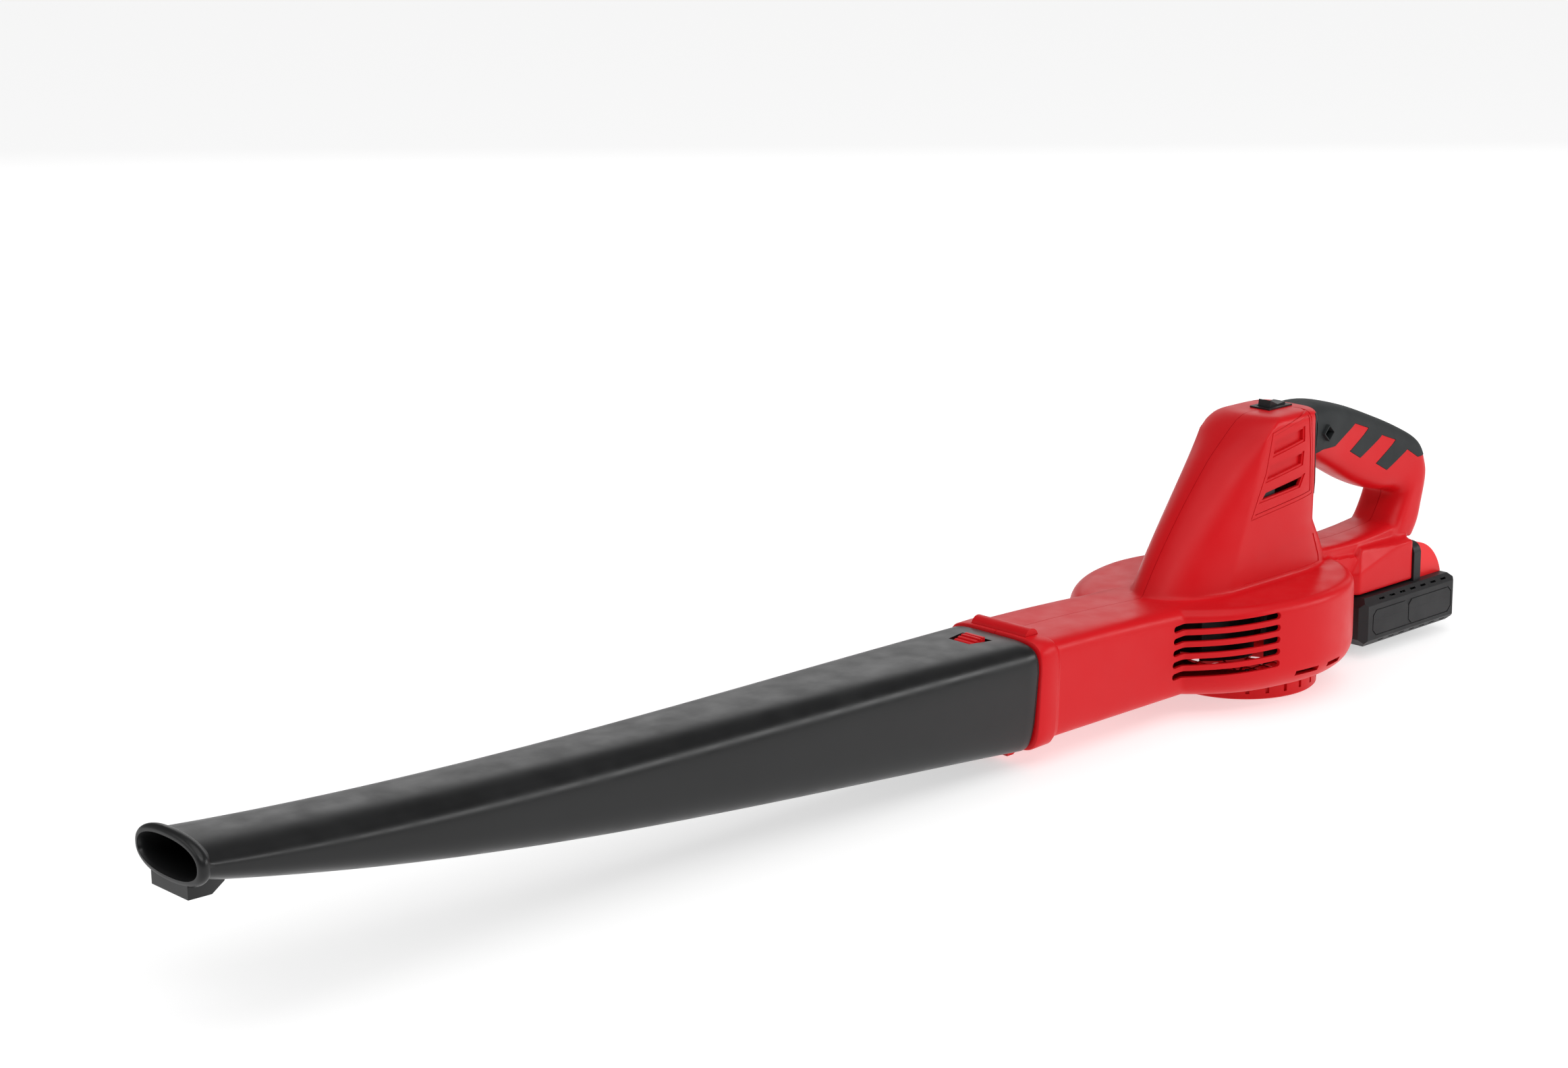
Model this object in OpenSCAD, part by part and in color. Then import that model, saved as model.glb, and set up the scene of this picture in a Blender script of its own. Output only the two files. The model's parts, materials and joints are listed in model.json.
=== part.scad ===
// Cordless leaf blower: a long tapered nozzle on a fan housing with a motor tower, a D-handle and a
// slide-on battery. The nozzle points along -X, +Z is up along the fan axis, and the origin is the centre
// of the flat hub under the air inlet, which the blower stands on.

/* [Nozzle] */
// Length of the nozzle tube, joint to tip
nozzle_len = 604; // [560:1:640]
// Half width of the nozzle at the joint
nozzle_half_w = 42; // [41.5:0.1:43]
// Height of the nozzle's top above the ground at the joint
nozzle_top = 84.5; // [84:0.1:85.5]
// Height of the nozzle's underside above the ground at the joint
nozzle_bottom = 9.5; // [9:0.1:10.5]
// Wall thickness of the nozzle
nozzle_wall = 2.2; // [1.8:0.1:2.6]
// Half width of the rolled rim at the tip
rim_half_w = 34.6; // [34:0.1:36]
// Half height of the rolled rim at the tip
rim_half_h = 14.5; // [14.2:0.1:15.2]

/* [Housing] */
// Wall thickness of the housing halves
wall = 2.5; // [2.2:0.1:2.8]
// Top of the fan scroll above the ground
scroll_top = 77; // [76:0.5:78]
// Underside of the fan scroll above the ground
scroll_bottom = 15; // [14.5:0.5:15.5]
// Half width of the air duct
duct_half_w = 39.5; // [39:0.1:40]
// Top of the motor tower above the ground
tower_top = 188; // [187:0.5:189]
// Half width of the motor tower at its top
tower_half_w = 28.5; // [28:0.1:29.5]

/* [Inlet and fan] */
// Radius of the slotted inlet ring
inlet_r = 53; // [52:0.5:54]
// Number of slits round the inlet ring
inlet_slits = 24; // [16:1:30]
// Radius of the impeller
impeller_r = 64; // [60:0.5:65]
// Number of impeller blades
blade_count = 9; // [7:1:11]

/* [Motor] */
// Radius of the motor can
motor_r = 21.5; // [20:0.1:21.5]
// Length of the motor can
motor_len = 62; // [58:1:64]
// Radius of the motor shaft
shaft_r = 2.5; // [2:0.1:3]

/* [Battery] */
// Length of the battery block
battery_len = 111; // [110:0.5:112]
// Half width of the battery block
battery_half_w = 38; // [37:0.1:38.5]
// Radius of one cell
cell_r = 9.2; // [9:0.05:9.2]
// Number of cells side by side
cell_count = 5; // [5:1:5]

/* [Hidden] */
$fn = 48;
eps = 0.01;
seam = 0.02;
joint_x = -250;
tip_x = joint_x - nozzle_len;
ring_points = 40;
nozzle_steps = 16;
socket_len = 48;
socket_half_w = 39.6;
socket_top = 82;
socket_bottom = 15;
socket_power = 5;
spigot_len = 46;
duct_bottom = 15.2;
floor_top = scroll_top + 0.5;
floor_under = scroll_top - wall;
nose_angle = 66;
nose_min = 8;
isolator_h = 3;
motor_z = floor_top + isolator_h;
motor_top = motor_z + motor_len;
can_wall = 1.6;
armature_r = 13.5;
motor_screw_r = 13;
plate_z = 66;
boss_top = 20.5;
battery_x = 91;
battery_bottom = 8;
battery_split = 27;
battery_top = 43.3;
battery_wall = 2;
battery_chamfer = 5;
panel_x = [101.2, 194.8];
panel_z = [15.6, 34.8];
panel_split_x = 143;
groove = 0.8;
foot_x = [93, 158.6];
foot_z = [44.5, 76];
foot_front_top = 60;
foot_rear_top = 73.5;
foot_half_w = 29;
ledge_top = 47.5;
slot_top = 56.5;
ceiling_top = 59;
rail_half_w = 22;
neck_half_w = 17;
rail_x = [105.5, 159.2];
rail_z = [48, 56];
rail_gap = 0.5;
strap_x = [159.2, 167.2];
button_x = [167.6, 197];
button_half_w = 26;
button_top = 69.5;
button_arc = [161.5, 33.5];
button_arc_r = 37;
well_floor = 38;
contact_ys = [-8, 0, 8];
cell_pitch = 18.5;
cell_len = 65;
cell_z = 24.5;
board_x = 106;
contact_x = 108.5;
catch_x = 149.2;
spring_x = 182;
notch_pitch = 12.2;
holder_z = [13.6, 35.8];
switch_x = 28;
switch_half = [10.3, 6.9];
rocker_z = tower_top - 2;
rocker_rest = 10;
latch_x = -239;
latch_half_w = 23.5;
latch_z = 83.6;
latch_r = 6;
latch_floor = 70.2;
arm_top = 78.8;
screw_r = 1.6;
hole_gap = 0.1;
screw_seat = 8.5;
wire_r = 1;
// Radius of the scroll wall from the fan axis, every 30 degrees, starting behind the near side of the duct
scroll_radii = [126, 106, 87, 79, 77, 77, 79, 82, 86, 92, 107, 123];
// Handle sections: x and z of the inner edge, x and z of the outer edge, half width
handle_sections = [
    [33, 152.5, 43, 186, 23.6],
    [56, 148, 70, 186, 21],
    [84, 135.5, 98, 179, 18.5],
    [111, 121.5, 128, 168, 18],
    [135, 112, 159, 155, 18.7],
    [150, 109.5, 182.5, 142, 19.5],
    [157, 107, 189, 127.5, 20.5],
    [157, 103, 189.5, 116, 21],
    [152, 94.5, 185.8, 98.5, 21],
    [144.5, 84.2, 181.5, 84, 21.5],
    [133, 76, 175, 73.5, 22]
];
housing_screw_places = [
    [-214, 27.5], [-150, 27], [-78, 90], [11, 178], [46.5, 100], [100, 132], [170, 118], [122, 63]
];
grip_depth = 1.4;
side_slot_x = [-115, -52];
side_slot_z = 33;
side_slot_pitch = 8.2;
side_slot_rise = 3.5;
side_slot_r = 2.3;
low_slots_at = [[-34.7, 21.5], [-3, 16.5]];
low_slot_z = [24.4, 28];
finger_stripes = [[95, 148], [126, 134]];
grip_screw_at = [63.5, 167];
grip_screw_y = -16.5;
vent_outline = [[-4, 177], [35, 185], [37, 162], [36, 132], [-27, 126], [-12, 152]];
vent_openings = [
    [[-2.7, 172.2], [28.5, 176.6], [28.3, 169], [-4.3, 164]],
    [[-8.1, 156], [27, 159.6], [25.8, 152.8], [-11.9, 147.8]],
    [[-13.5, 139.2], [26.6, 143.7], [22.4, 138], [-18, 135]]
];
inlet_screw_angles = [45, 135, 225, 315];
inlet_screw_r = 46.5;
battery_screw_places = [[94.5, -20], [94.5, 20], [198.5, -20], [198.5, 20]];
feed_route = [
    [100, -8, 61], [100, -8, 68], [99.5, -8, 75], [94, -8, 78.8], [75, -8, 79.3], [55, -8, 80.6], [43, -8, 84],
    [38, -8, 95], [38, -8, 120], [38, -8, 148], [34, -3, 157], [33, 0, 162], [33, 0, 165]
];
return_route = [[23, 0, 165], [23, 0, 161], [19, 0, 155], [15, 0, 150.5], [15, 0, motor_top + 4]];
motor_route = [
    [100, 8, 61], [100, 8, 68], [99.5, 8, 75], [94, 8, 78.8], [75, 8, 79.3], [55, 8, 80.6], [43, 8, 84],
    [38, 8, 95], [38, 12, 120], [36, 15, 145], [28, 16, 155], [8, 14, 160], [-10, 6, 157], [-15, 0, 151],
    [-15, 0, motor_top + 4]
];

// ---- General shapes ----

function signed_power(v, p) = sign(v) * pow(abs(v), p);

function mix(a, b, t) = a + (b - a) * t;

function mean(points) = [for (k = [0:2]) [for (p = points) p[k]] * [for (p = points) 1] / len(points)];

// A rounded section across X; narrow is how much the underside is narrower than the top
function section_x(x, zc, half_w, half_h, power, narrow) = [
    for (i = [0:ring_points - 1])
        let (t = 360 * i / ring_points, s = signed_power(sin(t), 2 / power))
            [x, half_w * signed_power(cos(t), 2 / power) * (1 - narrow * (1 - s) / 2), zc + half_h * s]
];

// A solid through rings that go round their direction of travel
module skin(rings) {
    n = len(rings[0]);
    m = len(rings);
    points = concat([for (r = rings) each r], [mean(rings[0]), mean(rings[m - 1])]);
    sides = [
        for (j = [0:m - 2]) for (i = [0:n - 1])
            let (a = j * n + i, b = j * n + (i + 1) % n) each [[a, b + n, b], [a, a + n, b + n]]
    ];
    ends = [for (i = [0:n - 1]) each [
        [m * n, i, (i + 1) % n],
        [m * n + 1, (m - 1) * n + (i + 1) % n, (m - 1) * n + i]
    ]];
    polyhedron(points, concat(sides, ends), convexity = 8);
}

// A round tube along a route, with each ring square to the way from the point before to the point after
module wire(route, r) {
    skin([for (k = [0:len(route) - 1])
        let (
            back = route[max(k - 1, 0)],
            ahead = route[min(k + 1, len(route) - 1)],
            d = (ahead - back) / norm(ahead - back),
            side = cross(d, [0, 1, 0]) / norm(cross(d, [0, 1, 0])),
            up = cross(d, side)
        )
            [for (i = [0:7]) route[k] + r * (cos(45 * i) * side + sin(45 * i) * up)]
    ]);
}

// A pan-head screw pointing down from the origin
module screw(len, r = screw_r, head_r = 3.2, head_h = 2) {
    difference() {
        union() {
            cylinder(r = head_r, h = head_h);
            translate([0, 0, -len]) cylinder(r = r, h = len + eps);
        }
        for (a = [0, 90])
            rotate(a) translate([-2, -0.45, head_h - 1.1]) cube([4, 0.9, 2]);
    }
}

module coil(r, wire_r, height, turns) {
    steps = turns * 10;
    skin([for (k = [0:steps])
        let (a = 36 * k, z = mix(wire_r, height - wire_r, k / steps), c = [cos(a), sin(a), 0])
            [for (i = [0:5]) (r + wire_r * cos(60 * i)) * c + [0, 0, z - wire_r * sin(60 * i)]]
    ]);
}

// ---- Nozzle ----

function nozzle_top_at(t) = nozzle_top + 17.2 * t - 29.4 * t * t + 32.9 * t * t * t;

function nozzle_bottom_at(t) = nozzle_bottom + 53 * t - 25.5 * t * t + 46.7 * t * t * t;

function nozzle_half_w_at(t) = nozzle_half_w - 12 * t + 1.2 * t * t - 1.5 * sin(180 * t);

function nozzle_section(t, inset) =
    let (top = nozzle_top_at(t), bottom = nozzle_bottom_at(t))
        section_x(joint_x - nozzle_len * t, (top + bottom) / 2, nozzle_half_w_at(t) - inset,
            (top - bottom) / 2 - inset, 5 - 2.7 * pow(t, 0.75), 0.18 * (1 - t));

function socket_section(x, inset) =
    section_x(x, (socket_top + socket_bottom) / 2, socket_half_w - inset,
        (socket_top - socket_bottom) / 2 - inset, socket_power, 0.18);

function rim_section(x, inset) =
    section_x(x, (nozzle_top_at(1) + nozzle_bottom_at(1)) / 2, rim_half_w - inset, rim_half_h - inset, 2.3, 0);

module nozzle() {
    color("dimgray") difference() {
        union() {
            nozzle_tube();
            spigot_stops();
        }
        latch_window();
    }
}

module nozzle_tube() {
    difference() {
        union() {
            skin([for (k = [nozzle_steps:-1:0]) nozzle_section(k / nozzle_steps * 0.995, 0)]);
            skin([for (k = [[0, 2.4], [1, 0.8], [3, 0], [6, 0], [8.5, 1.4], [11, 3.4]])
                rim_section(tip_x + k[0], k[1])]);
            nozzle_foot();
        }
        skin(concat(
            [for (k = [0, 4]) rim_section(tip_x - 1 + k, 5.6)],
            [for (k = [nozzle_steps - 1:-1:2]) nozzle_section(k / nozzle_steps, nozzle_wall)],
            [socket_section(joint_x - socket_len, 0.4), socket_section(joint_x - socket_len + 2, 0)],
            [socket_section(joint_x + 1, 0)]
        ));
    }
}

module nozzle_foot() {
    foot_z = nozzle_bottom_at(1) - 8.6;
    difference() {
        hull() {
            translate([tip_x + 0.5, -17, foot_z]) cube([1, 34, 8]);
            translate([tip_x + 13, -15, foot_z - 1.2]) cube([3, 30, 8]);
            translate([tip_x + 25, -10, foot_z + 2]) cube([2, 20, 4]);
        }
        translate([tip_x + 4, -30, nozzle_bottom_at(1) + 1]) cube([60, 60, 30]);
    }
}

// The trapezoid window in the top wall that the ribbed catch comes up through
module latch_window() {
    translate([0, 0, socket_top - 4])
        linear_extrude(12)
            polygon([[joint_x - 31, -9], [joint_x - 31, 9], [joint_x - 14, 13], [joint_x - 14, -13]]);
}

// Half width of the nozzle's inner wall near the socket at height z
function socket_wall_y(z) =
    let (s = (z - (socket_top + socket_bottom) / 2) / (socket_top - socket_bottom) * 2)
        socket_half_w * pow(cos(asin(pow(abs(s), socket_power / 2))), 2 / socket_power) * (1 - 0.09 * (1 - s));

// Stops inside that the spigot's end meets
module spigot_stops() {
    for (side = [-1, 1])
        for (z = [25, 40, 55, 70])
            let (y = socket_wall_y(z) - 1)
                hull() {
                    translate([joint_x - socket_len - 1, side * y - 1, z]) cube([1, 2, 3]);
                    translate([joint_x - socket_len - 9, side * (y + 0.6) - 0.6, z]) cube([1, 1.2, 3]);
                }
}

module nozzle_seal() {
    color("black") difference() {
        skin([socket_section(joint_x, -1.2), socket_section(joint_x + 1.6, -1.2)]);
        skin([socket_section(joint_x - 1, 0.2), socket_section(joint_x + 3, 0.2)]);
    }
}

// ---- Housing outline, with every surface moved in by g ----

function duct_section(x, top, g) =
    section_x(x, (top + duct_bottom) / 2, duct_half_w - g, (top - duct_bottom) / 2 - g, 7, 0.06);

module duct(g) {
    skin([
        duct_section(-236 - g * 3, 83.5, g),
        duct_section(-190, 82.3, g),
        duct_section(-150, 80.6, g),
        duct_section(-110, scroll_top + 1.4, g),
        duct_section(-70 - g, scroll_top, g)
    ]);
}

module collar() {
    skin([
        section_x(joint_x + 2, 47.8, 40.5, 36.2, 6, 0.12),
        section_x(joint_x + 3.5, 47.8, 42.2, 37.6, 6, 0.12),
        section_x(joint_x + 17, 48.4, 42.2, 36.8, 6.5, 0.09),
        section_x(joint_x + 22, 48.6, 39.5, 33.8, 7, 0.06)
    ]);
}

module spigot(g) {
    skin([
        socket_section(joint_x - spigot_len, 0.8 + g),
        socket_section(joint_x - spigot_len + 3, 0.4 + g),
        socket_section(joint_x + 14, 0.4 + g)
    ]);
}

function wrap(i) = (i + 24) % 12;

function scroll_r(a) =
    let (
        u = (a + 540) % 360 / 30,
        i = floor(u),
        t = u - i,
        p = [for (k = [-1:2]) scroll_radii[wrap(i + k)]]
    )
        0.5 * (2 * p[1] + (p[2] - p[0]) * t + (2 * p[0] - 5 * p[1] + 4 * p[2] - p[3]) * t * t
            + (3 * p[1] - p[0] - 3 * p[2] + p[3]) * t * t * t);

// The top edge is softer on the far side
function scroll_edge(a, top) = top ? 7 + 19 * max(0, sin(a)) : 19;

function scroll_ring(phi, top, g) = [
    for (k = [0:59])
        let (
            a = 6 * k - 180,
            edge = scroll_edge(a, top),
            r = scroll_r(a) - g - edge * (1 - cos(phi)),
            lift = edge * (1 - sin(phi)) + g
        )
            [r * cos(a), r * sin(a), top ? scroll_top - lift : scroll_bottom + lift]
];

module scroll(g) {
    skin(concat(
        [for (phi = [90:-30:0]) scroll_ring(phi, false, g)],
        [for (phi = [0:22.5:90]) scroll_ring(phi, true, g)]
    ));
}

function tower_front(z) = let (h = z - 77) -105.7 + 0.612 * h + 0.0022 * h * h;

function tower_crease(z) = -57 + 0.45 * (z - 77);

// A rounded nose that meets the flat sides at a crease, and a squarer rear
function tower_ring(z, x_rear, g) =
    let (
        front = tower_front(z) + g,
        mid = max(tower_crease(z), front + nose_min),
        half = tower_half_w + 0.055 * (tower_top - z) - g
    )
        [for (i = [0:39])
            let (t = 9 * i, nose = nose_angle * (t - 180) / 90)
                cos(t) > 0
                    ? [mid + (x_rear - g - mid) * pow(cos(t), 0.36), half * signed_power(sin(t), 0.36), z]
                    : [
                        front + (mid - front) * (1 - cos(nose)) / (1 - cos(nose_angle)),
                        -half * sin(nose) / sin(nose_angle), z
                    ]];

module tower(g) {
    skin([
        tower_ring(g > 0 ? scroll_top + 0.5 : scroll_top - 5, 62, g),
        tower_ring(86, 61, g),
        tower_ring(96, 56.5, g),
        tower_ring(110, 49, g),
        tower_ring(126, 50, g),
        tower_ring(136, 51.5, g),
        tower_ring(160, 52, g),
        tower_ring(tower_top - 9 - g, 53, g),
        tower_ring(tower_top - 4.5 - g, 53, g + 1.6),
        tower_ring(tower_top - 1.5 - g, 53, g + 4.8),
        tower_ring(tower_top - g, 53, g + 10)
    ]);
}

function handle_ring(s, g) =
    let (
        mid = [s[0] + s[2], s[1] + s[3]] / 2,
        half = [s[2] - s[0], s[3] - s[1]] / 2,
        v = half * (1 - g / norm(half))
    )
        [for (i = [0:27])
            let (t = 360 / 28 * i, c = signed_power(cos(t), 0.62), u = signed_power(sin(t), 0.62))
                [mid.x + v.x * u, (s[4] - g) * c, mid.y + v.y * u]];

module handle(g) {
    last = len(handle_sections) - 1;
    skin(concat(
        [for (k = [0:last - 1]) handle_ring(handle_sections[k], g)],
        [handle_ring(handle_sections[last] + (g > 0 ? [1, 1.2, 1, 1.2, 0] * g : [0, 0, 0, 0, 0]), g)]
    ));
}

// The lower arm runs back from the tower over the battery foot
module arm(g) {
    floor_z = g > 0 ? floor_top + 0.3 : 67.3;
    skin([for (s = [[42, 88, 25], [62, 85, 22], [95, 82.5, 20], [125, 83.5, 20], [150, 86, 20]])
        section_x(s[0] + (s[0] > 140 ? -g : 0), (s[1] - g + floor_z) / 2, s[2] - g,
            (s[1] - g - floor_z) / 2, 5, 0)]);
}

module foot_block(g) {
    inner = g > 0 ? 1 : 0;
    hull() {
        for (s = [[4, 0, foot_front_top], [0, 4, foot_front_top], [52, 0, foot_rear_top], [12, 6, foot_z[1]]])
            translate([foot_x[0] + s[0] + g, -foot_half_w + s[1] + g, foot_z[0] - inner])
                cube([
                    foot_x[1] - foot_x[0] - s[0] - 2 * g,
                    2 * (foot_half_w - s[1] - g),
                    s[2] - foot_z[0] + inner - g
                ]);
    }
}

// Web that carries the foot from the scroll
module foot_web() {
    hull() {
        translate([59, -23.4, 65.6]) cube([4, 46.8, 10]);
        translate([foot_x[0] + 2, -23.4, 50]) cube([4, 46.8, 22]);
    }
}

module body_outside() {
    duct(0);
    collar();
    spigot(0);
    scroll(0);
    tower(0);
    handle(0);
    arm(0);
    foot_block(0);
    foot_web();
}

module body_inside() {
    duct(wall);
    spigot(2.2);
    translate([-14, 0, 0]) spigot(2.2);
    scroll(wall);
    tower(wall);
    handle(wall);
    arm(wall);
    foot_block(wall);
}

// Side slots beside the scroll, swept a little upward toward the rear
module side_slots() {
    for (k = [0:4])
        hull()
            for (end = [0, 1])
                translate([side_slot_x[end], -100, side_slot_z + side_slot_pitch * k + side_slot_rise * end])
                    rotate([-90, 0, 0]) cylinder(r = side_slot_r, h = 50, $fn = 12);
}

module low_slots() {
    for (s = low_slots_at)
        translate([s[0], -90, low_slot_z[0]]) cube([s[1], 40, low_slot_z[1] - low_slot_z[0]]);
}

// Space for the latch: a tunnel for its arm, a window for its catch and a trough for its bar
module latch_pocket() {
    translate([joint_x - 33, -12, latch_floor]) cube([latch_x + 6.5 - joint_x + 33, 24, 79.2 - latch_floor]);
    translate([joint_x - 33, -9, latch_floor]) cube([21, 18, 30]);
    translate([latch_x - 6.4, -latch_half_w - 0.5, 77.6]) cube([12.8, 2 * latch_half_w + 1, 20]);
}

// Box that closes the duct off below the latch
module latch_box() {
    translate([joint_x - 35, -14, latch_floor - 2]) cube([latch_x + 8.5 - joint_x + 35, 28, 14]);
    translate([latch_x - 8.4, -latch_half_w - 2.5, 75.6]) cube([16.8, 2 * latch_half_w + 5, 8]);
}

// Wedge under the collar
module collar_wedge() {
    hull() {
        translate([joint_x + 3, -12, 11]) cube([15, 24, 2]);
        translate([joint_x + 3.5, -10, 3.2]) cube([5.5, 20, 2]);
    }
}

module switch_hole() {
    translate([switch_x, 0, tower_top - 4])
        cube([2 * switch_half.x + 0.2, 2 * switch_half.y + 0.2, 20], center = true);
}

module shaft_hole() {
    translate([0, 0, floor_under - 1]) cylinder(r = 9.5, h = 8);
    for (side = [-1, 1])
        translate([0, side * motor_screw_r, floor_under - 1]) cylinder(r = screw_r + hole_gap, h = 8, $fn = 20);
}

module inlet_hole() {
    translate([0, 0, scroll_bottom - 2]) cylinder(r = 41, h = 5);
    for (a = inlet_screw_angles)
        rotate(a) translate([inlet_screw_r, 0, scroll_bottom - 2])
            cylinder(r = screw_r + hole_gap, h = boss_top, $fn = 20);
}

module inlet_bosses() {
    for (a = inlet_screw_angles)
        rotate(a) translate([inlet_screw_r, 0, scroll_bottom]) cylinder(r = 3.5, h = boss_top - scroll_bottom, $fn = 20);
}

// Ledges and ceiling of the slot that the battery's rail runs in
module foot_rails() {
    len = foot_x[1] - foot_x[0];
    translate([foot_x[0], -foot_half_w + 1, foot_z[0]]) cube([len, 2 * foot_half_w - 2, ledge_top - foot_z[0]]);
    translate([foot_x[0], -foot_half_w + 1, slot_top]) cube([len, 2 * foot_half_w - 2, ceiling_top - slot_top]);
}

module rail_slot() {
    len = foot_x[1] - foot_x[0] + 10;
    translate([foot_x[0] + wall, -neck_half_w - rail_gap, foot_z[0] - 3])
        cube([len, 2 * (neck_half_w + rail_gap), slot_top - foot_z[0] + 3]);
    translate([foot_x[0] + wall, -rail_half_w - rail_gap, ledge_top])
        cube([len, 2 * (rail_half_w + rail_gap), slot_top - ledge_top]);
    translate([foot_x[0] + wall, -14.2, foot_z[0]]) cube([8.8, 28.4, 26.5]);
    translate([catch_x - 1.5, -8.7, slot_top - 1]) cube([8, 17.4, 6]);
    translate([foot_x[0] + 0.5, -11, 70]) cube([11, 22, 9.5]);
}

// Which stretch of the handle the soft grip covers: the top, two finger stripes and a nose down the tower
module grip_zone() {
    rotate([90, 0, 0]) linear_extrude(80, center = true) {
        polygon([
            [46, 210], [46, 186], [54, 152], [62, 155], [76, 155], [88, 161], [101, 167], [120, 160],
            [134, 153], [150, 147], [161, 139], [174, 131], [190, 131], [190, 210]
        ]);
        for (s = finger_stripes)
            polygon([for (d = [[0, 0], [12.5, -6.8], [37, 5], [40, 14], [24, 14]]) s + d]);
    }
}

// The grip's two layers lie between an outer and an inner offset of the handle and of the tower's rear
module grip_skin(outer, inner) {
    intersection() {
        difference() {
            handle(outer);
            handle(inner);
        }
        grip_zone();
        translate([51.5, -50, 0]) cube(300);
    }
}

module grip_strip(outer, inner) {
    intersection() {
        difference() {
            tower(outer);
            tower(inner);
        }
        translate([44, -50, 128]) cube([20, 100, 56]);
    }
}

// Pillars that the housing screws run in, reaching to the outer wall
module screw_pillars(side) {
    r = side > 0 ? 4.8 : 3.6;
    for (p = housing_screw_places)
        hull() {
            translate([p[0], side * seam, p[1]]) rotate([-90 * side, 0, 0]) cylinder(r = r, h = 10, $fn = 16);
            translate([p[0], side * 60, p[1]]) rotate([-90 * side, 0, 0]) cylinder(r = r + 0.8, h = 1, $fn = 16);
        }
}

module screw_holes() {
    for (p = housing_screw_places) {
        translate([p[0], 60, p[1]]) rotate([90, 0, 0]) cylinder(r = screw_r + hole_gap, h = 71, $fn = 16);
        translate([p[0], 90, p[1]]) rotate([90, 0, 0]) cylinder(r = 3.5, h = 90 - screw_seat, $fn = 16);
    }
}

module grip_boss() {
    translate([grip_screw_at.x, -8, grip_screw_at.y]) rotate([90, 0, 0]) cylinder(r = 4.5, h = 20, $fn = 24);
}

// A diamond recess with the screw's hole behind it
module grip_screw_hole() {
    translate([grip_screw_at.x, grip_screw_y, grip_screw_at.y]) rotate([90, 0, 0]) cylinder(r = 5.5, h = 20, $fn = 4);
    translate([grip_screw_at.x, grip_screw_y + 7, grip_screw_at.y])
        rotate([90, 0, 0]) cylinder(r = screw_r + hole_gap, h = 10, $fn = 20);
}

module vent_seat(side) {
    translate([0, side * 30, 0]) rotate([90, 0, 0]) linear_extrude(28, center = true) polygon(vent_outline);
}

module housing_half(side) {
    difference() {
        intersection() {
            union() {
                difference() {
                    body_outside();
                    body_inside();
                }
                intersection() {
                    body_outside();
                    union() {
                        screw_pillars(side);
                        motor_ribs();
                        inlet_bosses();
                        foot_rails();
                        latch_box();
                        grip_boss();
                    }
                }
                collar_wedge();
            }
            translate([-400, side < 0 ? -200 - seam : seam, -10]) cube([700, 200, 260]);
        }
        grip_skin(-1, grip_depth + 0.05);
        grip_strip(-1, grip_depth + 0.05);
        grip_screw_hole();
        latch_pocket();
        switch_hole();
        shaft_hole();
        inlet_hole();
        rail_slot();
        screw_holes();
        vent_seat(side);
    }
}

module motor_ribs() {
    for (z = [motor_z + 14, motor_z + 46])
        difference() {
            translate([-34, -40, z]) cube([68, 80, 2.4]);
            translate([0, 0, z - 1]) cylinder(r = motor_r + 0.06, h = 5, $fn = 64);
        }
}

module housing_left() {
    color("crimson") difference() {
        housing_half(-1);
        side_slots();
        low_slots();
    }
}

module housing_right() {
    color("crimson") housing_half(1);
}

// ---- Parts let into the housing ----

module vent_slots() {
    for (outline = vent_openings)
        polygon(outline);
}

module vent_insert(side) {
    intersection() {
        difference() {
            tower(0);
            tower(wall + 0.8);
        }
        translate([0, side * 30, 0]) rotate([90, 0, 0]) linear_extrude(27, center = true)
            difference() {
                offset(delta = -0.1) polygon(vent_outline);
                vent_slots();
            }
    }
}

module vent_left() {
    color("crimson") vent_insert(-1);
}

module vent_right() {
    color("crimson") vent_insert(1);
}

module grip_half(side) {
    difference() {
        intersection() {
            union() {
                grip_skin(0, grip_depth);
                grip_strip(0, grip_depth);
            }
            translate([-100, side < 0 ? -200 - seam : seam, 100]) cube([400, 200, 120]);
        }
        grip_screw_hole();
        switch_hole();
        screw_holes();
    }
}

module grip_left() {
    color("dimgray") grip_half(-1);
}

module grip_right() {
    color("dimgray") grip_half(1);
}

module housing_screws() {
    color("silver")
        for (p = housing_screw_places)
            translate([p[0], screw_seat, p[1]]) rotate([-90, 0, 0]) screw(18);
}

module grip_screw() {
    color("silver") translate([grip_screw_at.x, grip_screw_y, grip_screw_at.y])
        rotate([90, 0, 0]) screw(6, screw_r, 2.8, 1.4);
}

module inlet_cover() {
    top = scroll_bottom - eps;
    color("firebrick") difference() {
        union() {
            rotate_extrude($fn = 96) polygon([
                [inlet_r - 2.4, 0], [inlet_r - 0.8, 0], [inlet_r, 0.8], [inlet_r, top], [42, top], [42, top - 2.4],
                [inlet_r - 2.4, top - 2.4]
            ]);
            for (r = [14.5, 25.5, 36.5])
                difference() {
                    cylinder(r = r + 1.1, h = 3, $fn = 96);
                    translate([0, 0, -1]) cylinder(r = r - 1.1, h = 5, $fn = 96);
                }
            cylinder(r = 6, h = 3);
            for (a = [0:30:330])
                rotate(a) translate([5, -0.9, 0]) cube([inlet_r - 6.5, 1.8, 3]);
            for (a = inlet_screw_angles)
                rotate(a) translate([inlet_screw_r, 0, 0]) cylinder(r = 4.6, h = top - 1.2);
        }
        for (k = [0:inlet_slits - 1])
            rotate(360 / inlet_slits * k) translate([inlet_r - 1.8, -1.3, 4]) cube([4, 2.6, 8]);
        for (a = inlet_screw_angles)
            rotate(a) translate([inlet_screw_r, 0, -1]) {
                cylinder(r = screw_r + hole_gap, h = 30);
                cylinder(r = 3.2, h = 9);
            }
    }
}

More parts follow.
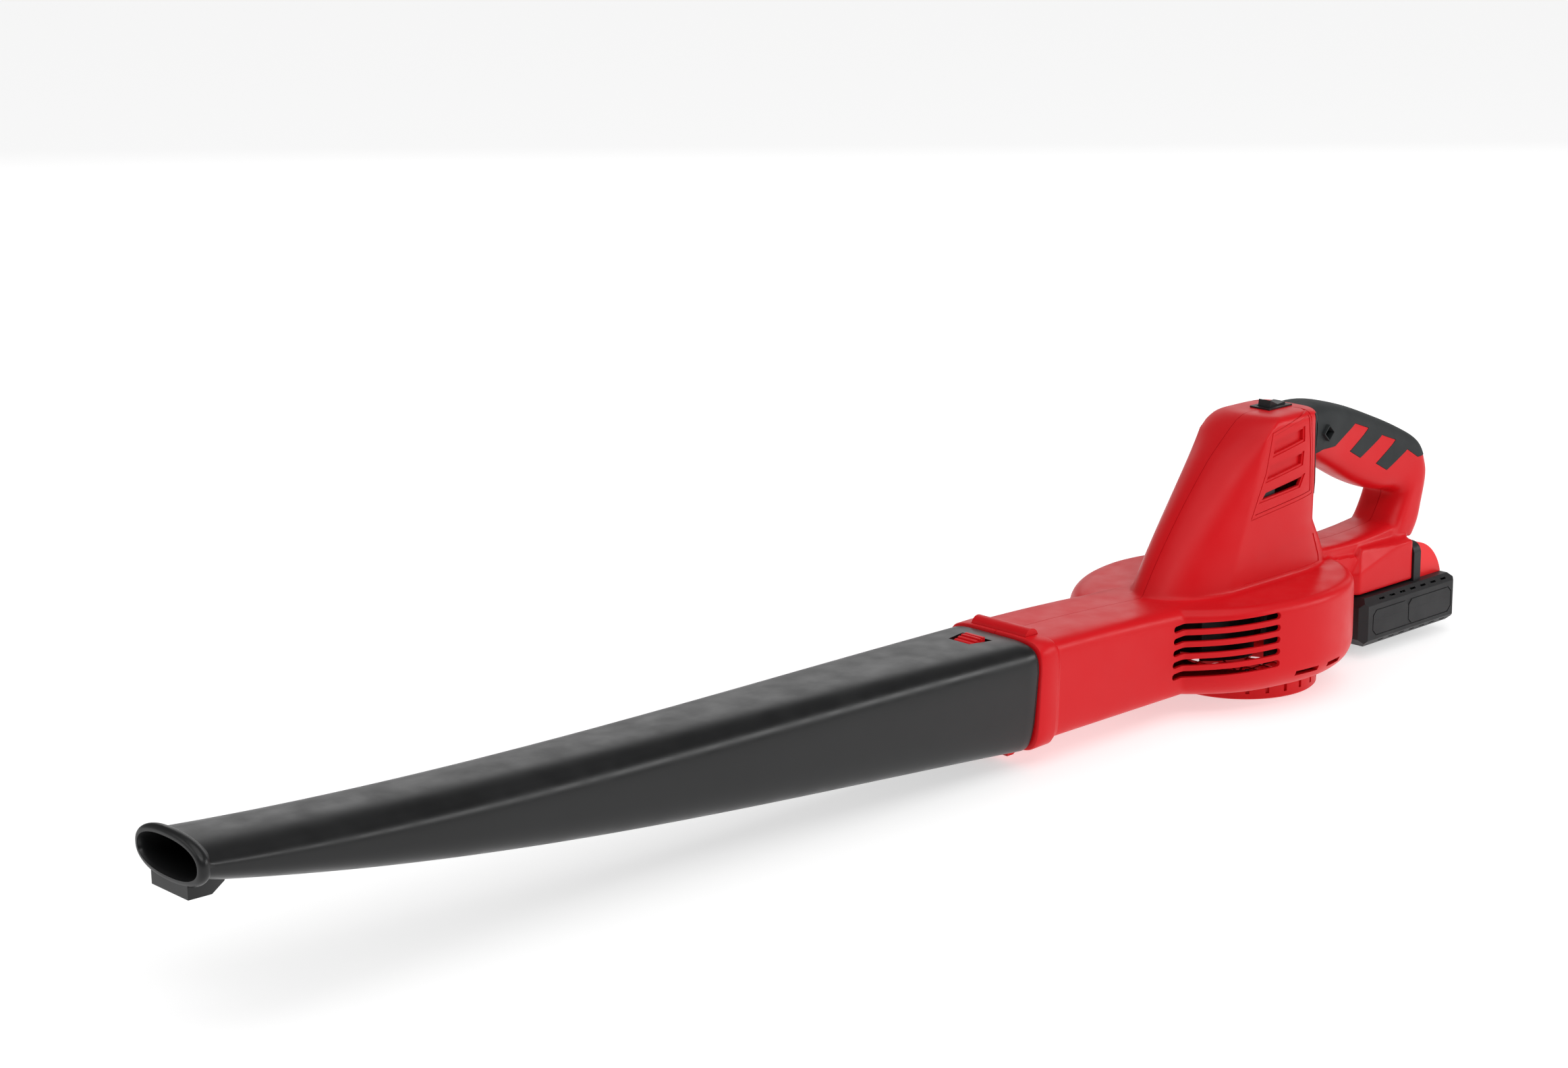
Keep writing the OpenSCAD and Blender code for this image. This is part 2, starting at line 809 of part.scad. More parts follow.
module inlet_screws() {
    color("silver")
        for (a = inlet_screw_angles)
            rotate(a) translate([inlet_screw_r, 0, 8]) rotate([180, 0, 0]) screw(11.5, screw_r, 3, 1.8);
}

// ---- Nozzle latch ----

module nozzle_latch() {
    color("crimson") difference() {
        union() {
            translate([latch_x, 0, latch_z]) rotate([90, 0, 0])
                cylinder(r = latch_r, h = 2 * latch_half_w, center = true);
            translate([latch_x - 4.5, -11.5, 76.5]) cube([9, 23, 5]);
            translate([joint_x - 30.5, -8, arm_top - 2.4]) cube([latch_x - joint_x + 30, 16, 2.4]);
        }
        for (side = [-1, 1])
            translate([latch_x - 10, side * 31.5 - 20, 74.4]) cube([20, 40, 8]);
        translate([latch_x - 10, -30, 74.4]) cube([5.5, 60, 2]);
        translate([latch_x, 0, 72]) cylinder(r = 3.4, h = 6.4);
    }
}

// The ribbed catch on the arm's end, which shows in the nozzle's window
module latch_catch() {
    color("crimson") difference() {
        translate([joint_x - 30, 0, 0]) rotate([90, 0, 0])
            linear_extrude(16, center = true)
                polygon([[0, arm_top + eps], [0, 83.4], [10, 86.4], [14.6, 86.6], [14.6, arm_top + eps]]);
        for (k = [0:3])
            translate([joint_x - 28.5 + 3.2 * k, -10, 83 + 0.8 * k]) cube([1.2, 20, 6]);
    }
}

module latch_spring() {
    color("silver") translate([latch_x, 0, latch_floor]) coil(2.2, 0.4, 78.4 - latch_floor, 4);
}

// ---- Fan ----

function blade_rings(a) = [
    for (k = [0:6])
        let (
            t = k / 6,
            r = mix(24, impeller_r - 1, t),
            b = a - 46 * t,
            out = [cos(b), sin(b)] * r,
            side = [-sin(b), cos(b)] * 0.9,
            low = mix(24, 28, t)
        )
            [
                [out.x + side.x, out.y + side.y, low], [out.x + side.x, out.y + side.y, plate_z + 1],
                [out.x - side.x, out.y - side.y, plate_z + 1], [out.x - side.x, out.y - side.y, low]
            ]
];

module impeller() {
    color("gray") difference() {
        union() {
            translate([0, 0, plate_z]) cylinder(r = impeller_r, h = 2, $fn = 96);
            translate([0, 0, plate_z - 22]) cylinder(r1 = 6, r2 = 13, h = 22.5);
            for (k = [0:blade_count - 1])
                skin(blade_rings(360 / blade_count * k));
        }
        translate([0, 0, plate_z - 30]) cylinder(r = shaft_r, h = 40);
    }
}

module fan_nut() {
    color("silver") difference() {
        translate([0, 0, plate_z - 26]) cylinder(r = 4.6, h = 4, $fn = 6);
        translate([0, 0, plate_z - 30]) cylinder(r = shaft_r, h = 20);
    }
}

// ---- Motor ----

module motor_shaft() {
    color("silver") translate([0, 0, plate_z - 28]) cylinder(r = shaft_r, h = motor_top + 7.5 - plate_z + 28);
}

module armature() {
    color("darkgray") translate([0, 0, motor_z + 9]) difference() {
        cylinder(r = armature_r, h = 36);
        translate([0, 0, -1]) cylinder(r = shaft_r, h = 50);
        for (a = [0:72:288])
            rotate(a) translate([armature_r - 3.5, -1.5, -1]) cube([6, 3, 50]);
    }
}

module commutator() {
    color("peru") translate([0, 0, motor_z + 48]) difference() {
        union() {
            cylinder(r = 5, h = 11);
            cylinder(r = 6.4, h = 2);
        }
        translate([0, 0, -1]) cylinder(r = shaft_r, h = 20);
    }
}

module motor_can() {
    color("slategray") translate([0, 0, motor_z]) difference() {
        cylinder(r = motor_r, h = motor_len, $fn = 64);
        translate([0, 0, 2]) cylinder(r = motor_r - can_wall, h = motor_len, $fn = 64);
        translate([0, 0, -1]) cylinder(r = 6.5, h = 6);
        for (side = [-1, 1])
            translate([0, side * motor_screw_r, -1]) cylinder(r = screw_r + hole_gap, h = 6);
        for (side = [-1, 1])
            translate([side * 13 - 2.5, -4, -1]) cube([5, 8, 6]);
    }
}

module motor_magnets() {
    color("black") translate([0, 0, motor_z + 7]) difference() {
        cylinder(r = motor_r - can_wall, h = 40, $fn = 64);
        translate([0, 0, -1]) cylinder(r = armature_r + 0.7, h = 42, $fn = 64);
        translate([-30, -6, -1]) cube([60, 12, 42]);
    }
}

// End plate with a bearing boss, a locating rim and two brush boxes
module motor_end_cap() {
    color("black") translate([0, 0, motor_top]) difference() {
        union() {
            cylinder(r = motor_r, h = 4, $fn = 64);
            difference() {
                translate([0, 0, -3]) cylinder(r = motor_r - can_wall - 0.1, h = 4, $fn = 64);
                translate([0, 0, -4]) cylinder(r = motor_r - can_wall - 2, h = 4, $fn = 64);
            }
            cylinder(r = 8, h = 8);
            for (side = [-1, 1])
                translate([side * 11 - 4, -3.2, -12]) cube([8, 6.4, 13]);
        }
        translate([0, 0, -1]) cylinder(r = 3.5, h = 20);
        translate([0, 0, 1.5]) cylinder(r = 5, h = 5);
        for (side = [-1, 1])
            translate([side * 11 - 5, -2, -10.5]) cube([10, 4, 5]);
        for (a = [45, 225])
            rotate(a) translate([13, -3, -2]) cube([3, 6, 12]);
    }
}

module bearing(z, outer, h) {
    translate([0, 0, z]) difference() {
        cylinder(r = outer, h = h);
        translate([0, 0, -1]) cylinder(r = shaft_r + 0.03, h = h + 2);
    }
}

module bearing_lower() {
    color("darkgoldenrod") bearing(motor_z - 2.5, 6.5, 6);
}

module bearing_upper() {
    color("darkgoldenrod") bearing(motor_top + 1.5, 5, 5);
}

module motor_brushes() {
    color("dimgray")
        for (side = [-1, 1])
            translate([side * 9.65 - 4.35, -2, motor_top - 10.5]) cube([8.7, 4, 5]);
}

module motor_screws() {
    color("silver")
        for (side = [-1, 1])
            translate([0, side * motor_screw_r, floor_under]) rotate([180, 0, 0])
                screw(motor_z + 2 - floor_under, screw_r, 3, 1.8);
}

module motor_isolator() {
    color("black") translate([0, 0, floor_top]) difference() {
        cylinder(r = motor_r, h = isolator_h, $fn = 64);
        translate([0, 0, -1]) cylinder(r = 9.5, h = 5);
        for (side = [-1, 1])
            translate([0, side * motor_screw_r, -1]) cylinder(r = screw_r + 0.2, h = 6);
    }
}

// ---- Switch and wiring ----

module switch_body() {
    color("black") translate([switch_x, 0, tower_top]) difference() {
        union() {
            translate([0, 0, -7.5]) cube([2 * switch_half.x, 2 * switch_half.y, 15.2], center = true);
            translate([0, 0, 0.6]) cube([25, 17, 1.2], center = true);
        }
        translate([0, 0, 0]) cube([19, 10.8, 16], center = true);
        translate([0, 0, rocker_z - tower_top]) rotate([90, 0, 0]) cylinder(r = 1.05, h = 12.4, center = true);
    }
}

// At rest the rocker has its front half up
module switch_rocker() {
    color("black") translate([switch_x, 0, rocker_z]) rotate([0, rocker_rest, 0]) rotate([90, 0, 0]) {
        linear_extrude(10.2, center = true)
            polygon([[-8.2, -1], [-8.2, 6.4], [0, 4.2], [8.2, 6.4], [8.2, -1], [2, -3.4], [-2, -3.4]]);
        cylinder(r = 1, h = 12, center = true);
    }
}

module switch_terminals() {
    color("gold")
        for (side = [-1, 1])
            translate([switch_x + 5 * side - 0.4, -2.4, tower_top - 23]) cube([0.8, 4.8, 23 - 15.1]);
}

module terminal_block() {
    color("black") difference() {
        translate([foot_x[0] + wall + eps, -14, 48.5]) cube([8.5, 28, 12.5]);
        for (y = contact_ys)
            translate([foot_x[0] + wall + 2, y - 0.4, 50.5]) cube([10, 0.8, 4]);
    }
}

module terminal_blades() {
    color("gold")
        for (y = contact_ys)
            translate([foot_x[0] + wall + 2, y - 0.4, 50.5]) cube([16, 0.8, 4]);
}

module wire_feed() {
    color("red") wire(feed_route, wire_r);
}

module wire_return() {
    color("red") wire(return_route, wire_r);
}

module wire_motor() {
    color("black") wire(motor_route, wire_r);
}

// ---- Battery ----

// A rectangle with its corners cut off by c
function octagon(x, y, c) = [
    [x[1], y[0] + c], [x[1], y[1] - c], [x[1] - c, y[1]], [x[0] + c, y[1]],
    [x[0], y[1] - c], [x[0], y[0] + c], [x[0] + c, y[0]], [x[1] - c, y[0]]
];

// The battery block with every edge chamfered, moved in by g
module battery_block(g) {
    c = battery_chamfer - 0.4 * g;
    x = [battery_x + g, battery_x + battery_len - g];
    y = [g - battery_half_w, battery_half_w - g];
    z = [battery_bottom + g, battery_top - g];
    intersection() {
        translate([x[0], 0, 0]) rotate([90, 0, 90]) linear_extrude(x[1] - x[0]) polygon(octagon(y, z, c));
        rotate([90, 0, 0]) linear_extrude(100, center = true) polygon(octagon(x, z, c + 1));
        linear_extrude(100) polygon(octagon(x, y, c));
    }
}

// Groove round a two-part panel on each side
module battery_panels() {
    for (side = [-1, 1])
        translate([0, side * battery_half_w, 0]) rotate([90, 0, 0]) linear_extrude(2 * 0.6, center = true)
            difference() {
                polygon(octagon(panel_x, panel_z, 4));
                polygon(octagon([panel_x[0] + groove, panel_split_x], panel_z + [groove, -groove], 3.6));
                polygon(octagon([panel_split_x + groove, panel_x[1] - groove], panel_z + [groove, -groove], 3.6));
            }
}

// Notches along the chamfered edges
module battery_notches(z, turn) {
    for (side = [-1, 1])
        for (k = [0:6])
            translate([battery_x + 23.5 + notch_pitch * k, side * (battery_half_w - battery_chamfer / 2), z])
                rotate([side * turn, 0, 0]) cube([6, 12, 1.6], center = true);
}

module battery_shell(z, h) {
    intersection() {
        difference() {
            battery_block(0);
            battery_block(battery_wall);
        }
        translate([battery_x - 1, -50, z]) cube([battery_len + 2, 100, h]);
    }
}

module battery_posts(z, h) {
    for (p = battery_screw_places)
        translate([p[0], p[1], z]) cylinder(r = 2.1, h = h);
}

module battery_tray() {
    color("dimgray") difference() {
        union() {
            battery_shell(battery_bottom, battery_split - battery_bottom);
            battery_posts(battery_bottom + 1, battery_split - battery_bottom - 1);
        }
        battery_notches(battery_bottom + battery_chamfer / 2, -45);
        battery_panels();
        for (p = battery_screw_places)
            translate([p[0], p[1], battery_bottom - 1]) {
                cylinder(r = 1.05, h = 30);
                cylinder(r = 1.8, h = 2.4);
            }
    }
}

module battery_lid() {
    color("dimgray") difference() {
        union() {
            battery_shell(battery_split + eps, 20);
            battery_posts(battery_split + eps, 14);
            translate([rail_x[0], -neck_half_w, battery_top - 1])
                cube([rail_x[1] - rail_x[0] + 1, 2 * neck_half_w, rail_z[1] - battery_top + 1]);
            translate([rail_x[0], -rail_half_w, rail_z[0]])
                cube([rail_x[1] - rail_x[0] + 1, 2 * rail_half_w, rail_z[1] - rail_z[0]]);
            battery_strap();
            translate([button_x[0] - 2, -button_half_w - 2.5, well_floor - 2])
                cube([battery_x + battery_len - button_x[0], 2 * button_half_w + 5, 5.5]);
        }
        battery_notches(battery_top - battery_chamfer / 2, 45);
        battery_panels();
        translate([rail_x[0] + 1.6, -13, battery_top - 4]) cube([30, 26, rail_z[1] - battery_top + 3]);
        for (y = contact_ys)
            translate([rail_x[0] - 1, y - 1, 49.8]) cube([4, 2, 5.4]);
        translate([catch_x - 1.5, -8.6, 48.2]) cube([strap_x[1] - catch_x + 2, 17.2, 10.6]);
        translate([strap_x[1], -button_half_w - 0.5, well_floor])
            cube([button_x[1] - strap_x[1] + 0.4, 2 * button_half_w + 1, 20]);
        for (p = battery_screw_places)
            translate([p[0], p[1], battery_split - 1]) cylinder(r = 1.05, h = 5);
    }
}

// Upright band across the battery, which stops against the back of the foot
module battery_strap() {
    translate([strap_x[0], 0, 0]) rotate([90, 0, 90]) linear_extrude(strap_x[1] - strap_x[0])
        union() {
            translate([-30, battery_top - 1]) square([60, 22]);
            for (side = [-1, 1])
                translate([side * 22, 63]) circle(r = 8);
            translate([-22, 60]) square([44, 11]);
        }
}

module battery_cell(k) {
    color("seagreen") translate([battery_x + battery_len / 2 + cell_pitch * (k - (cell_count - 1) / 2), 0, cell_z])
        rotate([90, 0, 0]) cylinder(r = cell_r, h = cell_len, center = true);
}

module battery_cell_1() {
    battery_cell(0);
}

module battery_cell_2() {
    battery_cell(1);
}

module battery_cell_3() {
    battery_cell(2);
}

module battery_cell_4() {
    battery_cell(3);
}

module battery_cell_5() {
    battery_cell(4);
}

// Two end frames joined by bars that carry the board
module cell_holder() {
    middle = battery_x + battery_len / 2;
    half_len = cell_pitch * cell_count / 2;
    color("whitesmoke") difference() {
        union() {
            for (y = [-26, 22])
                translate([middle - half_len, y, holder_z[0]]) cube([2 * half_len, 4, holder_z[1] - holder_z[0]]);
            for (x = [-30, 20])
                translate([middle + x, -25, holder_z[1] - 1.8]) cube([8, 50, 1.8]);
        }
        for (k = [0:cell_count - 1])
            translate([middle + cell_pitch * (k - (cell_count - 1) / 2), 0, cell_z])
                rotate([90, 0, 0]) cylinder(r = cell_r + 0.03, h = 80, center = true);
    }
}

module nickel_strips() {
    middle = battery_x + battery_len / 2;
    y = cell_len / 2;
    color("silver") {
        for (k = [-1.5, 0.5])
            translate([middle + cell_pitch * k - 14, -y - 0.3, cell_z - 4]) cube([28, 0.3, 8]);
        translate([middle + cell_pitch * 2 - 5, -y - 0.3, cell_z - 4]) cube([10, 0.3, 8]);
        for (k = [-0.5, 1.5])
            translate([middle + cell_pitch * k - 14, y, cell_z - 4]) cube([28, 0.3, 8]);
        translate([middle - cell_pitch * 2 - 5, y, cell_z - 4]) cube([10, 0.3, 8]);
    }
}

module battery_board() {
    color("darkgreen") translate([board_x, -20, holder_z[1]]) cube([54, 40, 1.6]);
}

// Forked contacts that the foot's blades run into
module battery_contacts() {
    base_z = holder_z[1] + 1.6;
    color("gold")
        for (y = contact_ys)
            translate([contact_x, y - 1.5, base_z]) difference() {
                cube([10, 3, 54.8 - base_z]);
                translate([-1, 0.8, 49.8 - base_z]) cube([12, 1.4, 10]);
            }
}

// A quarter-round push piece, hollow underneath
module battery_button() {
    len = button_x[1] - button_x[0];
    z = battery_top - 0.4;
    color("crimson") difference() {
        translate([button_x[0], 0, 0]) rotate([90, 0, 0]) linear_extrude(2 * button_half_w, center = true)
            intersection() {
                translate([0, z]) square([len, button_top - z]);
                translate([button_arc.x - button_x[0], button_arc.y]) circle(r = button_arc_r);
            }
        translate([button_x[0] + 2.4, -button_half_w + 2.4, z - 1]) cube([19, 2 * button_half_w - 4.8, 17]);
    }
}

// Hook on the button that holds the battery on the foot
module battery_catch() {
    color("crimson") {
        translate([catch_x, -8, 52]) cube([button_x[0] - catch_x - eps, 16, 2]);
        translate([catch_x, 0, 0]) rotate([90, 0, 0]) linear_extrude(16, center = true)
            polygon([[0, 53], [0, 55], [1.5, 58], [6, 58], [6, 53]]);
    }
}

module button_spring() {
    color("silver") translate([spring_x, 0, well_floor]) coil(4, 0.6, 57.6 - well_floor, 6);
}

module battery_screws() {
    color("silver")
        for (p = battery_screw_places)
            translate([p[0], p[1], battery_bottom + 1.4]) rotate([180, 0, 0]) screw(16, 1, 1.7, 1);
}

nozzle();
nozzle_seal();
nozzle_latch();
latch_catch();
latch_spring();
housing_left();
housing_right();
vent_left();
vent_right();
grip_left();
grip_right();
housing_screws();
grip_screw();
inlet_cover();
inlet_screws();
impeller();
fan_nut();
motor_shaft();
armature();
commutator();
motor_can();
motor_magnets();
motor_end_cap();
bearing_lower();
bearing_upper();
motor_brushes();
motor_screws();
motor_isolator();
switch_body();
switch_rocker();
switch_terminals();
terminal_block();
terminal_blades();
wire_feed();
wire_return();
wire_motor();
battery_tray();
battery_lid();
battery_cell_1();
battery_cell_2();
battery_cell_3();
battery_cell_4();
battery_cell_5();
cell_holder();
nickel_strips();
battery_board();
battery_contacts();
battery_button();
battery_catch();
button_spring();
battery_screws();
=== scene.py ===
import json
import math

import bmesh
import bpy
import numpy as np
from mathutils import Matrix, Vector


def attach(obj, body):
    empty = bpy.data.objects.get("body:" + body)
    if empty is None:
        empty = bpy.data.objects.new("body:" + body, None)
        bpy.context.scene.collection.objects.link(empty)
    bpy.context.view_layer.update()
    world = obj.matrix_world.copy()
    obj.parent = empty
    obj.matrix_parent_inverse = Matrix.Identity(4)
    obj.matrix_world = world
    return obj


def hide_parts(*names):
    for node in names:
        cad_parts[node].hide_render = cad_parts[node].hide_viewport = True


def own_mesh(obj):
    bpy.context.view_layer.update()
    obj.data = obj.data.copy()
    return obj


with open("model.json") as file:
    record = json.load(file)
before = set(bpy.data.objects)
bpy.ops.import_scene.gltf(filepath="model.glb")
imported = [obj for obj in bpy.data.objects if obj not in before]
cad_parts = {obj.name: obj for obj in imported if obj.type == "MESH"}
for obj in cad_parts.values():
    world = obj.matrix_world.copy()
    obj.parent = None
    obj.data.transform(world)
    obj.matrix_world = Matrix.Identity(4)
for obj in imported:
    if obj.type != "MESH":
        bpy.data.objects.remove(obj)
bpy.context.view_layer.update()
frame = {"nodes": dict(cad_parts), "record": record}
nodes = frame["nodes"]
MM = 0.001


# ---- Camera, floor and lights ----

IMAGE_WIDTH, FOCAL_LENGTH = 2324, 4600  # both in picture elements of the full-size frame
CAMERA_TURN = (-42.84, 14.52, 0.81)  # azimuth, elevation and roll in degrees
CAMERA_AT = (-1.6351, -1.2999, 0.6420)


def make_camera():
    az, el, roll = (math.radians(a) for a in CAMERA_TURN)
    forward = Vector((-math.sin(az) * math.cos(el), math.cos(az) * math.cos(el), -math.sin(el)))
    level = Vector((math.cos(az), math.sin(az), 0))
    down = forward.cross(level)
    right = math.cos(roll) * level + math.sin(roll) * down
    down = -math.sin(roll) * level + math.cos(roll) * down
    data = bpy.data.cameras.new("camera")
    data.sensor_width = 36
    data.lens = data.sensor_width * FOCAL_LENGTH / IMAGE_WIDTH
    data.clip_start = 0.05
    data.clip_end = 100
    cam = bpy.data.objects.new("camera", data)
    bpy.context.scene.collection.objects.link(cam)
    pose = Matrix((right, -down, -forward)).transposed().to_4x4()
    pose.translation = CAMERA_AT
    cam.matrix_world = pose
    bpy.context.scene.camera = cam


def area_light(name, at, to, size, power):
    data = bpy.data.lights.new(name, "AREA")
    data.shape = "RECTANGLE"
    data.size, data.size_y = size
    data.energy = power
    obj = bpy.data.objects.new(name, data)
    bpy.context.scene.collection.objects.link(obj)
    obj.location = at
    obj.rotation_euler = (Vector(to) - Vector(at)).to_track_quat("-Z", "Y").to_euler()


def make_lights():
    sun = bpy.data.lights.new("sky_panel", "SUN")
    sun.energy = 1.5
    sun.angle = math.radians(75)
    sky = bpy.data.objects.new("sky_panel", sun)
    sky.rotation_euler = (math.radians(12), math.radians(-10), 0)
    bpy.context.scene.collection.objects.link(sky)
    area_light("key", (-1.3, -1.5, 1.9), (-0.25, 0, 0.05), (2.2, 0.5), 9)
    area_light("left", (-2.3, 0.9, 1.0), (-0.3, 0, 0.05), (1.4, 1.0), 5)
    area_light("right", (1.5, -1.9, 0.95), (-0.2, 0, 0.08), (2.2, 0.5), 24)
    area_light("back", (1.75, 1.75, 1.05), (-0.1, 0, 0.1), (3.6, 1.2), 15)
    world = bpy.data.worlds.new("world")
    bpy.context.scene.world = world
    world.use_nodes = True
    world.node_tree.nodes["Background"].inputs["Color"].default_value = (1, 1, 1, 1)
    world.node_tree.nodes["Background"].inputs["Strength"].default_value = 0.13
    bpy.context.scene.view_settings.view_transform = "Standard"


def make_floor():
    mesh = bpy.data.meshes.new("floor")
    half = 14
    corners = [(-half, -half, 0), (half, -half, 0), (half, half, 0), (-half, half, 0)]
    mesh.from_pydata(corners, [], [(0, 1, 2, 3)])
    floor = bpy.data.objects.new("floor", mesh)
    floor.location.z = -0.0005
    bpy.context.scene.collection.objects.link(floor)
    mat, tree, shader = new_material("floor_pale", (0.62, 0.62, 0.62), 0.8)
    shader.inputs["Emission Color"].default_value = (1, 1, 1, 1)
    shader.inputs["Emission Strength"].default_value = 0.56
    bump_of(tree, shader, 12, 0.02, 0.001)
    mesh.materials.append(mat)


# ---- Materials ----

# Finishes that take their colour from the record, with the roughness of each
INNER_PLASTICS = {"seal_rubber": 0.7, "motor_paint": 0.35, "magnet": 0.5, "carbon": 0.6, "wire_red": 0.4,
                  "wire_black": 0.4, "cell_sleeve": 0.3, "white_plastic": 0.5, "board_green": 0.4}
METALS = {"steel": 0.3, "copper_bar": 0.3, "bearing_bronze": 0.35, "gold_contact": 0.25, "nickel": 0.3}


def new_material(name, colour, rough):
    mat = bpy.data.materials.new(name)
    mat.use_nodes = True
    tree = mat.node_tree
    shader = tree.nodes["Principled BSDF"]
    shader.inputs["Base Color"].default_value = (*colour, 1)
    shader.inputs["Roughness"].default_value = rough
    return mat, tree, shader


def noise(tree, scale, detail=3.0, rough=0.5, stretch=(1, 1, 1)):
    place = tree.nodes.new("ShaderNodeTexCoord")
    scaler = tree.nodes.new("ShaderNodeMapping")
    scaler.inputs["Scale"].default_value = stretch
    tex = tree.nodes.new("ShaderNodeTexNoise")
    tex.inputs["Scale"].default_value = scale
    tex.inputs["Detail"].default_value = detail
    tex.inputs["Roughness"].default_value = rough
    tree.links.new(place.outputs["Object"], scaler.inputs["Vector"])
    tree.links.new(scaler.outputs["Vector"], tex.inputs["Vector"])
    return tex.outputs["Fac"]


def ramp(tree, value, low, high, at=(0.3, 0.7)):
    node = tree.nodes.new("ShaderNodeValToRGB")
    for stop, colour, place in zip(node.color_ramp.elements, (low, high), at):
        stop.color = (*colour, 1)
        stop.position = place
    tree.links.new(value, node.inputs["Fac"])
    return node.outputs["Color"]


def span(tree, value, low, high, at=(0.3, 0.7)):
    node = tree.nodes.new("ShaderNodeMapRange")
    node.inputs["From Min"].default_value, node.inputs["From Max"].default_value = at
    node.inputs["To Min"].default_value, node.inputs["To Max"].default_value = low, high
    tree.links.new(value, node.inputs["Value"])
    return node.outputs["Result"]


def bump_of(tree, shader, scale, strength, distance, after=None, detail=2.0, stretch=(1, 1, 1)):
    node = tree.nodes.new("ShaderNodeBump")
    node.inputs["Strength"].default_value = strength
    node.inputs["Distance"].default_value = distance
    tree.links.new(noise(tree, scale, detail, stretch=stretch), node.inputs["Height"])
    if after:
        tree.links.new(after, node.inputs["Normal"])
    tree.links.new(node.outputs["Normal"], shader.inputs["Normal"])
    return node.outputs["Normal"]


def plastic(name, colour, rough, spread=0.12, grain=1400, grain_depth=0.00006, wave=45, wave_depth=0.0001,
            specular=0.5, dust=0.0):
    """Moulded plastic: a little colour variation, a fine grain and a slow wave. Depths are in metres."""
    mat, tree, shader = new_material(name, colour, rough)
    dark = tuple(c * (1 - spread) for c in colour)
    light = tuple(min(1, c * (1 + spread) + dust) for c in colour)
    tree.links.new(ramp(tree, noise(tree, 9, 5), dark, light), shader.inputs["Base Color"])
    tree.links.new(span(tree, noise(tree, 60, 4), rough - 0.05, rough + 0.06), shader.inputs["Roughness"])
    shader.inputs["Specular IOR Level"].default_value = specular
    soft = bump_of(tree, shader, wave, 0.35, wave_depth)
    bump_of(tree, shader, grain, 0.5, grain_depth, soft)
    return mat


def metal(name, colour, rough):
    mat, tree, shader = new_material(name, colour, rough)
    shader.inputs["Metallic"].default_value = 1
    dark = tuple(c * 0.82 for c in colour)
    tree.links.new(ramp(tree, noise(tree, 40, 4), dark, colour), shader.inputs["Base Color"])
    tree.links.new(span(tree, noise(tree, 150, 4), rough - 0.08, rough + 0.1), shader.inputs["Roughness"])
    bump_of(tree, shader, 400, 0.3, 0.00004, stretch=(1, 1, 9))
    return mat


def make_materials():
    colours = {m["slot"]: tuple(m["base_color"][:3]) for m in frame["record"]["materials"]}
    made = {
        "satin_black": plastic("satin_black", (0.0092, 0.0094, 0.0098), 0.33, 0.08, 700, 0.00001, 14, 0.00004,
                               specular=0.34, dust=0.001),
        "red_shell": plastic("red_shell", (0.66, 0.006, 0.0105), 0.38, 0.04, 1500, 0.00004, 40, 0.00005,
                             specular=0.2),
        "soft_grip": plastic("soft_grip", (0.022, 0.025, 0.026), 0.66, 0.14, 1800, 0.00012, 60, specular=0.3),
        "button_red": plastic("button_red", (0.86, 0.010, 0.013), 0.34, 0.04, 1500, 0.00004, specular=0.3),
        "black_plastic": plastic("black_plastic", (0.010, 0.010, 0.011), 0.42, 0.1, 1500, 0.00005,
                                 specular=0.35),
        "battery_black": plastic("battery_black", (0.010, 0.010, 0.011), 0.5, 0.12, 1700, 0.00012,
                                 specular=0.35),
        "fan_plastic": plastic("fan_plastic", (0.02, 0.02, 0.021), 0.5),
    }
    for name, rough in INNER_PLASTICS.items():
        made[name] = plastic(name, colours[name], rough)
    for name, rough in METALS.items():
        made[name] = metal(name, colours[name], rough)
    return made


# ---- Mesh building, in millimetres, turned to metres at the end ----

def signed_power(v, p):
    return np.sign(v) * np.abs(v) ** p


def mix(a, b, t):
    return a + (b - a) * t


def solid(name, points, faces):
    mesh = bpy.data.meshes.new(name)
    mesh.from_pydata([tuple(p * MM) for p in np.asarray(points, float)], [], faces)
    work = bmesh.new()
    work.from_mesh(mesh)
    bmesh.ops.recalc_face_normals(work, faces=work.faces)
    work.to_mesh(mesh)
    work.free()
    obj = bpy.data.objects.new(name, mesh)
    bpy.context.scene.collection.objects.link(obj)
    return obj


def loft(name, rings):
    n, m = len(rings[0]), len(rings)
    points = np.concatenate([*rings, [np.mean(rings[0], 0)], [np.mean(rings[-1], 0)]])
    faces = [
        (j * n + i, j * n + (i + 1) % n, (j + 1) * n + (i + 1) % n, (j + 1) * n + i)
        for j in range(m - 1) for i in range(n)
    ]
    faces += [(m * n, (i + 1) % n, i) for i in range(n)]
    faces += [(m * n + 1, (m - 1) * n + i, (m - 1) * n + (i + 1) % n) for i in range(n)]
    return solid(name, points, faces)


def between(name, first, last):
    """A solid between two outlines with the same number of points."""
    n = len(first)
    faces = [tuple(range(n)), tuple(range(2 * n - 1, n - 1, -1))]
    faces += [(i, (i + 1) % n, n + (i + 1) % n, n + i) for i in range(n)]
    return solid(name, first + last, faces)


def prism(name, outline, y0, y1):
    """An outline in X and Z drawn out along Y."""
    return between(name, [(x, y0, z) for x, z in outline], [(x, y1, z) for x, z in outline])


def block(low, high, name="block"):
    (x0, y0, z0), (x1, y1, z1) = low, high
    return prism(name, [(x0, z0), (x1, z0), (x1, z1), (x0, z1)], y0, y1)


